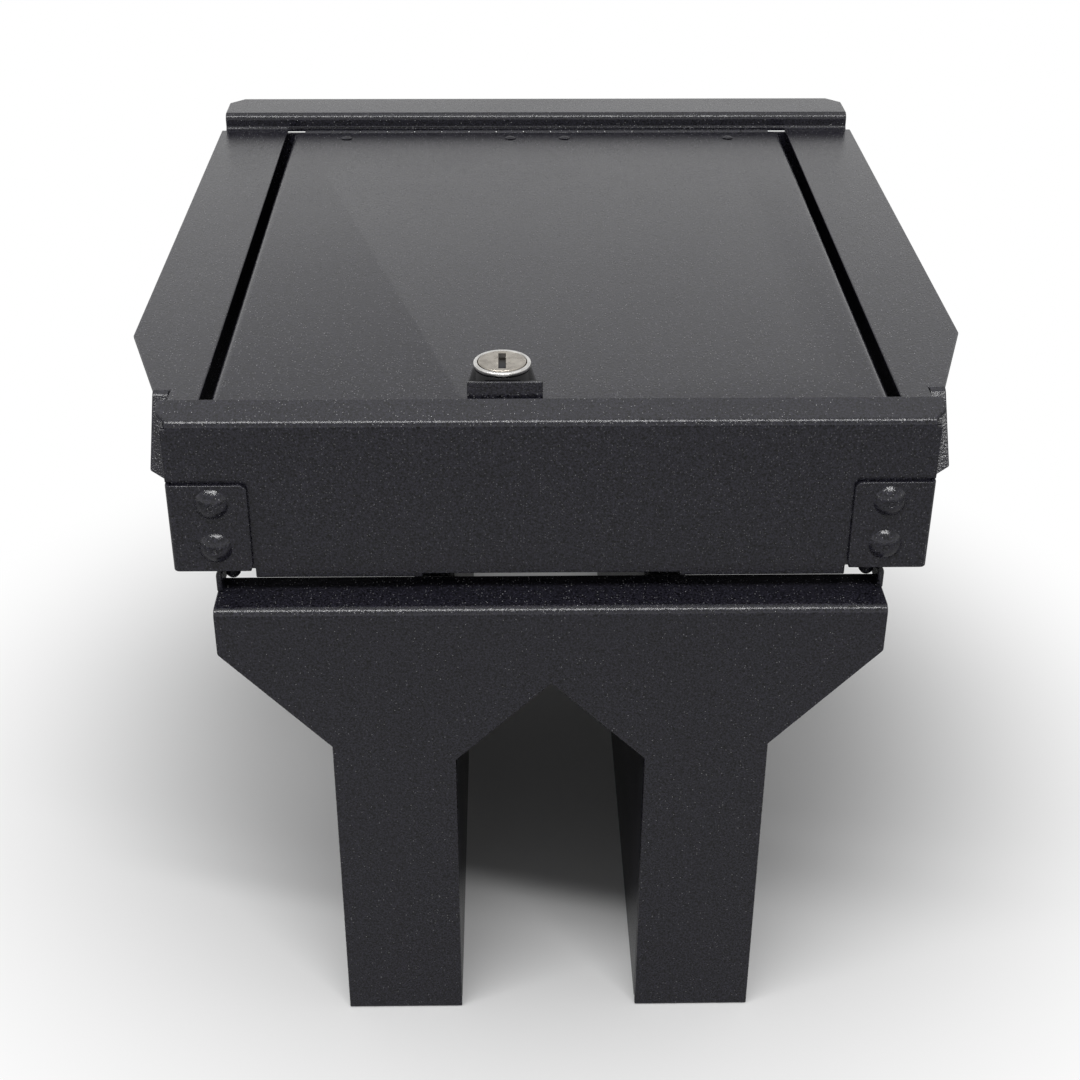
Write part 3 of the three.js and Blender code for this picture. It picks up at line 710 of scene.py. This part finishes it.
def set_normals(mesh, bm):
    """Keeps flats flat up to their rounded edges, and bends evenly round along their length."""
    bm.faces.index_update()
    # Rank 0 for a rounded edge, 1 for a strip of a bend, 2 for a flat
    rank = []
    for face in bm.faces:
        width = 2 * face.calc_area() / max(face.calc_perimeter(), 1e-9)
        rank.append(0 if face.material_index else 2 if width > FLAT_WIDTH else 1)
    normals = {}
    for vert in bm.verts:
        left = {loop.face.index: loop for loop in vert.link_loops}
        while left:
            start = next(iter(left.values())).face
            fan, queue = [], [start]
            while queue:
                face = queue.pop()
                loop = left.pop(face.index, None)
                if loop is None:
                    continue
                fan.append(loop)
                for edge in (loop.edge, loop.link_loop_prev.edge):
                    if edge.is_manifold and edge.calc_face_angle() < SMOOTH_ANGLE:
                        queue += [f for f in edge.link_faces if f.index in left]
            best = max(rank[loop.face.index] for loop in fan)
            total = Vector()
            for loop in fan:
                if rank[loop.face.index] == best:
                    total += loop.face.normal * loop.calc_angle()
            for loop in fan:
                normals[loop.face.index, vert] = total.normalized()
    split = [normals[face.index, loop.vert] for face in bm.faces for loop in face.loops]
    for face in bm.faces:
        face.material_index = 0
        face.smooth = True
    bm.to_mesh(mesh)
    mesh.normals_split_custom_set(split)


def welded_faces(node):
    """The node's points and faces, with shared corners and one face for each flat or bent strip."""
    source = frame["nodes"][node].data
    bm = bmesh.new()
    bm.from_mesh(source)
    bmesh.ops.remove_doubles(bm, verts=bm.verts, dist=SAME_CAD_POINT)
    bmesh.ops.dissolve_limit(
        bm, angle_limit=math.radians(1), use_dissolve_boundaries=False,
        verts=bm.verts, edges=bm.edges, delimit=set(),
    )
    bm.verts.index_update()
    points = [v.co.copy() for v in bm.verts]
    faces = [[v.index for v in f.verts] for f in bm.faces]
    bm.free()
    return points, faces


def dressed(node, finish, radius, steps):
    """Replaces the node by its own shape with rounded edges and a finish."""
    points, faces = welded_faces(node)
    piece = new_piece(f"coated_{node}", points, faces, finish, BODY_OF[node], node)
    round_edges(piece, radius, steps)


def rounded_path(corners, steps=4):
    """Points along [a, b, radius] corners, each turned into an arc of its radius."""
    points = []
    count = len(corners)
    for i, (a, b, radius) in enumerate(corners):
        here = Vector((a, b))
        if not radius or i in (0, count - 1):
            points.append(here)
            continue
        before = Vector(corners[i - 1][:2])
        after = Vector(corners[i + 1][:2])
        arrive = (here - before).normalized()
        leave = (after - here).normalized()
        turn = math.acos(max(-1.0, min(1.0, arrive.dot(leave))))
        side = 1 if arrive.x * leave.y - arrive.y * leave.x > 0 else -1
        start = here - arrive * (radius * math.tan(turn / 2))
        normal = Vector((-arrive.y, arrive.x)) * side
        centre = start + normal * radius
        for k in range(steps + 1):
            spin = Matrix.Rotation(side * turn * k / steps, 2)
            points.append(centre - (spin @ normal) * radius)
    return points


def lathe(profile, steps, place):
    """Points and faces of [radius, height] turned round Z, then moved by place."""
    points, faces, rings = [], [], []
    for radius, height in profile:
        if radius < SAME_POINT:
            rings.append([len(points)])
            points.append(place @ Vector((0, 0, height)))
            continue
        rings.append(list(range(len(points), len(points) + steps)))
        for k in range(steps):
            angle = 2 * math.pi * k / steps
            x, y = radius * math.cos(angle), radius * math.sin(angle)
            points.append(place @ Vector((x, y, height)))
    for low, high in zip(rings, rings[1:]):
        for k in range(steps):
            n = (k + 1) % steps
            loop = [low[k % len(low)], low[n % len(low)], high[n % len(high)], high[k % len(high)]]
            faces.append(list(dict.fromkeys(loop)))
    return points, faces


# Rivets

def rivet_profile(radius, height, shank, grip, tail_radius, tail_length, mandrel):
    """Head, shank and the bulb that holds the sheets, from the head's top downwards."""
    ball = (radius * radius + height * height) / (2 * height)
    dome = [(0, height)]
    if mandrel:
        dome = [(mandrel * out, height - mandrel * deep) for out, deep in MANDREL_END]
    inner = dome[-1][0]
    for k in range(1, DOME_RINGS + 1):
        r = inner + (radius - inner) * k / DOME_RINGS
        dome.append((r, math.sqrt(ball * ball - r * r) - (ball - height)))
    fillet = radius * RIM_SHARE
    dome[-1] = (radius - fillet * 0.2, fillet)
    edge = [(radius + fillet * 0.2, fillet * 0.5), (radius, 0)]
    end = -grip - tail_length
    body = rounded_path([
        (shank, 0, 0), (shank, -grip, 0),
        (tail_radius, -grip - tail_length * 0.1, tail_length * 0.12),
        (tail_radius, -grip - tail_length * 0.7, tail_length * 0.2),
        (tail_radius * 0.6, end, tail_length * 0.1), (0, end, 0),
    ])
    return dome + edge + [tuple(p) for p in body]


def build_rivet(node, direction, radius, height, shank, grip, tail_radius, tail_length, mandrel=0):
    """A rivet in its node's place, whose head points in the direction."""
    low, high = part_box(node)
    middle = (low + high) / 2
    outward = Vector(direction)
    reach = abs((high - low).dot(outward))
    seat = middle + outward * (reach / 2 - height)
    turn = outward.to_track_quat("Z", "Y").to_matrix().to_4x4()
    profile = rivet_profile(radius, height, shank, grip, tail_radius, tail_length, mandrel)
    steps = bpy.context.scene.safe_rivet.steps
    points, faces = lathe(profile, steps, Matrix.Translation(seat) @ turn)
    new_piece(
        f"coated_{node}", points, faces, "rivet_black", BODY_OF[node], node, slot="satin_black",
    )


# Operators, one for each group of like pieces

class SAFE_OT_sheet(bpy.types.Operator):
    """Rounds the cut edges of the folded sheet pieces and coats them"""
    bl_idname = "console_safe.sheet"
    bl_label = "Dress Folded Sheet"

    def execute(self, context):
        edge = context.scene.safe_edge
        for node in SHEET_NODES:
            dressed(node, "satin_black", edge.radius, edge.steps)
        return {"FINISHED"}


class SAFE_OT_hinge(bpy.types.Operator):
    """Rolls both leaves of the piano hinge round their pin"""
    bl_idname = "console_safe.hinge"
    bl_label = "Roll Piano Hinge"

    def execute(self, context):
        hinge = context.scene.safe_hinge
        middle = hinge.barrel_radius - hinge.sheet / 2
        clear = hinge.barrel_radius + hinge.relief
        lid_path = [(-hinge.leaf_width, LEAF_DROP), (-clear, LEAF_DROP), *LEAF_RISE] + [
            (middle * math.sin(a), middle * math.cos(a)) for a in curl_angles(LID_CURL_START)
        ]
        wall_path = [(middle, -hinge.leaf_width), (middle, -clear)] + [
            (middle * math.cos(a), middle * math.sin(a)) for a in curl_angles(0)
        ]
        roll_leaf(hinge, "hinge_lid_leaf", "rolled_lid_leaf", 0, lid_path)
        roll_leaf(hinge, "hinge_frame_leaf", "rolled_frame_leaf", 1, wall_path)
        hinge_pin()
        return {"FINISHED"}


def curl_angles(start):
    """Angles of the points along a rolled knuckle."""
    return [
        math.radians(start + CURL_DEGREES * k / CURL_STEPS) for k in range(CURL_STEPS + 1)
    ]


def roll_leaf(hinge, node, name, parity, path):
    """A leaf along its path of [depth, height], rolled only at every second knuckle."""
    low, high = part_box("hinge_lid_leaf")
    pitch = (high.x - low.x) / hinge.knuckles
    inset = hinge.gap / 2
    # Each knuckle has a column of points at either end, but for the gaps to its neighbours
    columns = []
    for k in range(hinge.knuckles):
        start = low.x + k * pitch
        first = start if k == 0 else start + inset
        last = start + pitch if k == hinge.knuckles - 1 else start + pitch - inset
        columns += [(first, k), (last, k)]
    points = [
        (x, HINGE_AXIS.y + y, HINGE_AXIS.z + z) for x, _ in columns for y, z in path
    ]
    rows = len(path)
    faces = []
    for c in range(len(columns) - 1):
        same = columns[c][1] == columns[c + 1][1]
        rolled = same and columns[c][1] % 2 == parity
        for r in range(rows - 1 if rolled else 1):
            a = c * rows + r
            faces.append([a, a + 1, a + rows + 1, a + rows])
    used = sorted({i for f in faces for i in f})
    index = {old: new for new, old in enumerate(used)}
    piece = new_piece(
        name, [points[i] for i in used], [[index[i] for i in f] for f in faces],
        "satin_black", BODY_OF[node], node,
    )
    thick = piece.modifiers.new("sheet", "SOLIDIFY")
    thick.thickness = hinge.sheet
    thick.offset = 0
    thick.use_even_offset = True
    round_edges(piece, LEAF_EDGE, 2, LEAF_ANGLE)


def hinge_pin():
    """The pin in the knuckles, with rounded ends."""
    low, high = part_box("hinge_pin")
    radius = (high.z - low.z) / 2
    half = (high.x - low.x) / 2
    profile = [(0, half)] + [tuple(p) for p in rounded_path([
        (0, half, 0), (radius, half, PIN_EDGE), (radius, -half, PIN_EDGE), (0, -half, 0),
    ])]
    turn = Matrix.Translation((low + high) / 2) @ Matrix.Rotation(math.pi / 2, 4, "Y")
    points, faces = lathe(profile, PIN_STEPS, turn)
    body = BODY_OF["hinge_pin"]
    new_piece("hinge_pin_steel", points, faces, "plain_steel", body, "hinge_pin")


class SAFE_OT_rivets(bpy.types.Operator):
    """Sets the corner, hinge and floor rivets"""
    bl_idname = "console_safe.rivets"
    bl_label = "Set Rivets"

    def execute(self, context):
        size = context.scene.safe_rivet
        for side in ("left", "right"):
            for row in (1, 2):
                build_rivet(
                    f"{side}_corner_rivet_{row}", (0, -1, 0), radius=size.corner_radius,
                    height=size.corner_height, mandrel=size.mandrel, **CORNER_RIVET,
                )
        for k in range(1, 5):
            build_rivet(f"lid_hinge_rivet_{k}", (0, 0, 1), **HINGE_RIVET)
            build_rivet(f"frame_hinge_rivet_{k}", (0, 1, 0), **HINGE_RIVET)
        for k in range(1, 7):
            build_rivet(f"floor_rivet_{k}", (0, 0, 1), **FLOOR_RIVET)
        return {"FINISHED"}


class SAFE_OT_lock(bpy.types.Operator):
    """Turns the cam lock: collar, ring and barrel, plug, nut, cam and screw"""
    bl_idname = "console_safe.lock"
    bl_label = "Turn Cam Lock"

    def execute(self, context):
        lock = context.scene.safe_lock
        collar(lock)
        ring_and_barrel(lock)
        face, foot = plug_body(lock)
        square_end(foot)
        key_shutter(face, lock.slot_length, lock.slot_width)
        for node in ("lock_nut", "lock_cam", "cam_screw"):
            dressed(node, "plain_steel", HARDWARE_EDGE, 3)
        return {"FINISHED"}


def turned(name, corners, arc_steps, lock, finish, node, slot=None):
    """A piece of the lock that is turned on a lathe, from its rounded corners."""
    profile = [tuple(p) for p in rounded_path(corners, arc_steps)]
    points, faces = lathe(profile, lock.steps, Matrix.Translation((LOCK_X, LOCK_Y, 0)))
    return new_piece(name, points, faces, finish, BODY_OF[node], node, slot=slot)


def collar(lock):
    """The gloss collar: an upright foot, a conical flank and a narrow crown."""
    low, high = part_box("lock_collar")
    base = (high.x - low.x) / 2
    turned("gloss_collar", [
        (COLLAR_BORE, low.z, 0), (base, low.z, 0.2 * MM), (base, low.z + COLLAR_FOOT, 0.4 * MM),
        (COLLAR_CROWN + 0.1 * MM, high.z, 0.2 * MM), (COLLAR_BORE, high.z, 0),
        (COLLAR_BORE, low.z, 0),
    ], 4, lock, "gloss_black", "lock_collar")


def ring_and_barrel(lock):
    """The bright ring with its threaded barrel, bored for the plug."""
    low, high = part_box("lock_barrel")
    ring = (high.x - low.x) / 2
    top = high.z
    body = BARREL_RADIUS
    neck = top - RING_HEIGHT
    seat = top - HEAD_HEIGHT
    thread = []
    pitch = lock.thread_pitch
    height = low.z + THREAD_START
    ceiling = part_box("lid_panel")[0].z + THREAD_END
    while height < ceiling:
        thread += [
            (body, height, 0), (body, height + pitch * 0.15, 0),
            (body - pitch * 0.45, height + pitch * 0.5, 0), (body, height + pitch * 0.85, 0),
        ]
        height += pitch
    mouth = PLUG_HEAD + LOCK_PLAY
    inner = PLUG_BODY + LOCK_PLAY
    turned("lock_ring_and_barrel", [
        (inner, low.z, 0), (body - 0.6 * MM, low.z, 0.2 * MM), *thread,
        (body, neck, 0), (ring, neck, 0.25 * MM), (ring, top, 0.5 * MM),
        (mouth, top, 0.25 * MM), (mouth, seat, 0), (inner, seat, 0), (inner, low.z, 0),
    ], 5, lock, "lock_metal", "lock_barrel")


def plug_body(lock):
    """The plug with its slot, and the heights of its face and of its foot."""
    low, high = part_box("lock_plug")
    face = high.z
    seat = face - HEAD_HEIGHT
    end = low.z + ROUND_END
    plug = turned("lock_plug_face", [
        (0, face, 0), (PLUG_GROOVE, face, 0), (PLUG_GROOVE + 0.1 * MM, face - 0.1 * MM, 0),
        (PLUG_GROOVE + 0.2 * MM, face, 0), (PLUG_HEAD, face, 0.45 * MM), (PLUG_HEAD, seat, 0),
        (PLUG_BODY, seat, 0), (PLUG_BODY, end, 0.2 * MM), (0, end, 0),
    ], 4, lock, "plug_metal", "lock_plug", slot="lock_metal")
    cut_slot(plug, face, lock.slot_length, lock.slot_width)
    return face, low.z


def boxed(low, high):
    """Points and faces of a box between two corners."""
    points = [
        (x, y, z) for x in (low[0], high[0]) for y in (low[1], high[1]) for z in (low[2], high[2])
    ]
    faces = [[0, 1, 3, 2], [4, 6, 7, 5], [0, 4, 5, 1], [2, 3, 7, 6], [0, 2, 6, 4], [1, 5, 7, 3]]
    return points, faces


def cut_slot(plug, face, length, width):
    """Cuts the key slot into the plug and chamfers its mouth."""
    points, faces = boxed(
        (LOCK_X - width / 2, LOCK_Y - length / 2, face - SLOT_DEPTH),
        (LOCK_X + width / 2, LOCK_Y + length / 2, face + 1 * MM),
    )
    mesh = bpy.data.meshes.new("slot cutter")
    mesh.from_pydata(points, [], faces)
    cutter = bpy.data.objects.new("slot cutter", mesh)
    bpy.context.scene.collection.objects.link(cutter)
    cut = plug.modifiers.new("slot", "BOOLEAN")
    cut.operation = "DIFFERENCE"
    cut.solver = "EXACT"
    cut.object = cutter
    evaluated = plug.evaluated_get(bpy.context.evaluated_depsgraph_get())
    result = bpy.data.meshes.new_from_object(evaluated)
    plug.modifiers.clear()
    plug.data = result
    bpy.data.objects.remove(cutter)
    bm = bmesh.new()
    bm.from_mesh(result)
    # Edges of the slot's mouth lie in the plug's face, within the slot's outline
    near = 1e-6
    rim = [
        e for e in bm.edges
        if all(
            abs(v.co.z - face) < near
            and abs(v.co.x - LOCK_X) < width / 2 + near
            and abs(v.co.y - LOCK_Y) < length / 2 + near
            for v in e.verts
        )
        and len(e.link_faces) == 2 and e.calc_face_angle(0) > 1
    ]
    bmesh.ops.bevel(bm, geom=rim, offset=SLOT_CHAMFER, segments=2, profile=0.5, affect="EDGES")
    bm.to_mesh(result)
    bm.free()
    result.set_sharp_from_angle(angle=math.radians(35))
    normals = plug.modifiers.new("flat faces", "WEIGHTED_NORMAL")
    normals.keep_sharp = True


def square_end(low_z):
    """The square end of the plug, on which the cam sits."""
    half = SQUARE_HALF
    points, faces = boxed(
        (LOCK_X - half, LOCK_Y - half, low_z),
        (LOCK_X + half, LOCK_Y + half, low_z + SQUARE_HEIGHT),
    )
    piece = new_piece(
        "plug_square_end", points, faces, "plug_metal", "lock_core", slot="lock_metal",
    )
    round_edges(piece, SQUARE_EDGE, 3)


def key_shutter(face, length, width):
    """The near-black piece behind the slot, half round across its length, which stands in for the shadow in the
    slot.
    """
    points, faces = [], []
    half = width / 2
    reach = length * SLOT_SHADOW_SHARE
    for side in (-half, half):
        for k in range(SLOT_SHADOW_STEPS + 1):
            angle = math.pi * k / SLOT_SHADOW_STEPS
            points.append((
                LOCK_X + side, LOCK_Y + math.cos(angle) * reach,
                face - SLOT_SHADOW_DEPTH + math.sin(angle) * SLOT_SHADOW_CROWN,
            ))
        points += [
            (LOCK_X + side, LOCK_Y - reach, face - SLOT_SHADOW_FLOOR),
            (LOCK_X + side, LOCK_Y + reach, face - SLOT_SHADOW_FLOOR),
        ]
    ring = SLOT_SHADOW_STEPS + 3
    for k in range(ring):
        n = (k + 1) % ring
        faces.append([k, n, n + ring, k + ring])
    faces.append(list(range(ring)))
    faces.append(list(range(ring, 2 * ring)))
    piece = new_piece("key_shutter", points, faces, "slot", "lock_core", slot="plain_steel")
    piece.data.set_sharp_from_angle(angle=math.radians(40))


class SAFE_OT_stage(bpy.types.Operator):
    """Lays the pale floor, hangs the softboxes and sets the camera"""
    bl_idname = "console_safe.stage"
    bl_label = "Set Stage"

    def execute(self, context):
        stage = context.scene.safe_stage
        lay_floor(stage)
        for name, (place, target, width, depth) in SOFTBOXES.items():
            softbox(name, getattr(stage, name), place, target, width, depth)
        light_room(stage)
        place_camera(stage)
        context.scene.view_settings.view_transform = "Standard"
        return {"FINISHED"}


def lay_floor(stage):
    """A wide disc whose shade keeps the safe's shadow and fades to white away from it."""
    material, tree, shader, place = new_material("pale_floor")
    cloud = tree.group(cloudiness, place=place, size=0.4)[0]
    dim = [c * FLOOR_CLOUD for c in stage.floor_colour] + [1]
    shade = tree.mix(cloud, dim, list(stage.floor_colour) + [1])
    shader.inputs["Roughness"].default_value = 0.9
    shader.inputs["Specular IOR Level"].default_value = 0.1
    away = tree.add("ShaderNodeVectorMath", operation="LENGTH")
    tree.feed(away.inputs[0], place)
    fade = tree.add("ShaderNodeMapRange", {
        "Value": away.outputs["Value"], "From Min": FADE_START, "From Max": FADE_END,
    }, interpolation_type="SMOOTHSTEP")
    rays = tree.add("ShaderNodeLightPath").outputs
    mirrored = [c * stage.floor_mirrored for c in stage.floor_colour] + [1]
    tree.feed(shader.inputs["Base Color"], tree.mix(rays["Is Glossy Ray"], shade, mirrored))
    seen = tree.math("MAXIMUM", rays["Is Camera Ray"], rays["Is Transmission Ray"])
    white = tree.add("ShaderNodeEmission", {"Color": (1, 1, 1, 1), "Strength": 1.0})
    blend = tree.add("ShaderNodeMixShader", {"Fac": tree.math("MULTIPLY", fade.outputs[0], seen)})
    tree.feed(blend.inputs[1], shader.outputs[0])
    tree.feed(blend.inputs[2], white.outputs[0])
    output = material.node_tree.nodes["Material Output"]
    tree.feed(output.inputs["Surface"], blend.outputs[0])
    mesh = bpy.data.meshes.new("floor")
    bm = bmesh.new()
    bmesh.ops.create_circle(bm, cap_ends=True, segments=96, radius=FLOOR_RADIUS)
    bm.to_mesh(mesh)
    bm.free()
    mesh.materials.append(material)
    floor = bpy.data.objects.new("floor", mesh)
    floor.location.z = -FLOOR_GAP
    bpy.context.scene.collection.objects.link(floor)


def softbox(name, power, place, target, width, depth):
    """A soft lamp at its place, turned to its target."""
    lamp = bpy.data.lights.new(f"{name} softbox", "AREA")
    lamp.shape = "RECTANGLE"
    lamp.size = width
    lamp.size_y = depth
    lamp.energy = power
    obj = bpy.data.objects.new(f"{name} softbox", lamp)
    obj.location = place
    obj.rotation_euler = (Vector(target) - Vector(place)).to_track_quat("-Z", "Y").to_euler()
    obj.visible_camera = False
    bpy.context.scene.collection.objects.link(obj)


def light_room(stage):
    """White to the camera, and in reflections white at the horizon and dimmer above it."""
    world = bpy.data.worlds.new("studio")
    world.use_nodes = True
    tree = Tree(world.node_tree)
    world.node_tree.nodes.clear()
    rays = tree.add("ShaderNodeLightPath").outputs
    glossy = tree.math("MAXIMUM", rays["Is Glossy Ray"], rays["Is Transmission Ray"])
    seen = tree.math("MAXIMUM", rays["Is Camera Ray"], glossy)
    direction = tree.add("ShaderNodeTexCoord").outputs["Generated"]
    height = tree.add("ShaderNodeSeparateXYZ", {"Vector": direction}).outputs[2]
    above = tree.spread(height, stage.horizon_low, stage.horizon_high, 1.0, stage.ceiling)
    mirrored = tree.math("MULTIPLY", glossy, above)
    shown = tree.math("MAXIMUM", rays["Is Camera Ray"], mirrored)
    indirect = tree.math("MULTIPLY", tree.math("SUBTRACT", 1.0, seen), stage.room)
    strength = tree.math("ADD", shown, indirect)
    light = tree.add("ShaderNodeBackground", {"Color": (1, 1, 1, 1), "Strength": strength})
    output = tree.add("ShaderNodeOutputWorld")
    tree.feed(output.inputs["Surface"], light.outputs[0])
    bpy.context.scene.world = world


def place_camera(stage):
    """The camera, turned down by its pitch, to the right by its yaw, and round by its roll."""
    pitch, yaw, roll = (math.radians(a) for a in stage.camera_turn)
    level = math.cos(pitch)
    forward = Vector((math.sin(yaw) * level, math.cos(yaw) * level, -math.sin(pitch)))
    right = Vector((math.cos(yaw), -math.sin(yaw), 0))
    up = right.cross(forward)
    across = right * math.cos(roll) + up * math.sin(roll)
    upward = up * math.cos(roll) - right * math.sin(roll)
    turn = Matrix((across, upward, -forward)).transposed().to_4x4()
    camera = bpy.data.cameras.new("camera")
    camera.lens = stage.lens
    camera.sensor_width = SENSOR_WIDTH
    obj = bpy.data.objects.new("camera", camera)
    obj.matrix_world = Matrix.Translation(stage.camera_place) @ turn
    bpy.context.scene.collection.objects.link(obj)
    bpy.context.scene.camera = obj


class SAFE_PT_panel(bpy.types.Panel):
    """Lists the safe's settings and its pieces"""
    bl_idname = "SAFE_PT_panel"
    bl_label = "Console Safe"
    bl_space_type = "VIEW_3D"
    bl_region_type = "UI"
    bl_category = "Console Safe"

    def draw(self, context):
        for key, group in SETTINGS.items():
            box = self.layout.box()
            settings = getattr(context.scene, key)
            for name in group.__annotations__:
                box.prop(settings, name)
        for operator in OPERATORS:
            self.layout.operator(operator.bl_idname)


OPERATORS = (SAFE_OT_sheet, SAFE_OT_hinge, SAFE_OT_rivets, SAFE_OT_lock, SAFE_OT_stage)


def register():
    """Makes the settings, the operators and the panel known to Blender."""
    for cls in (*SETTINGS.values(), *OPERATORS, SAFE_PT_panel):
        bpy.utils.register_class(cls)
    for key, group in SETTINGS.items():
        setattr(bpy.types.Scene, key, PointerProperty(type=group))


def unregister():
    """Takes them away again."""
    for key in SETTINGS:
        delattr(bpy.types.Scene, key)
    for cls in (SAFE_PT_panel, *reversed(OPERATORS), *reversed(SETTINGS.values())):
        bpy.utils.unregister_class(cls)


def main():
    """Dresses the safe and sets the stage."""
    register()
    bpy.ops.console_safe.sheet()
    bpy.ops.console_safe.hinge()
    bpy.ops.console_safe.rivets()
    bpy.ops.console_safe.lock()
    bpy.ops.console_safe.stage()
    bpy.context.view_layer.update()


if __name__ == "__main__":
    main()
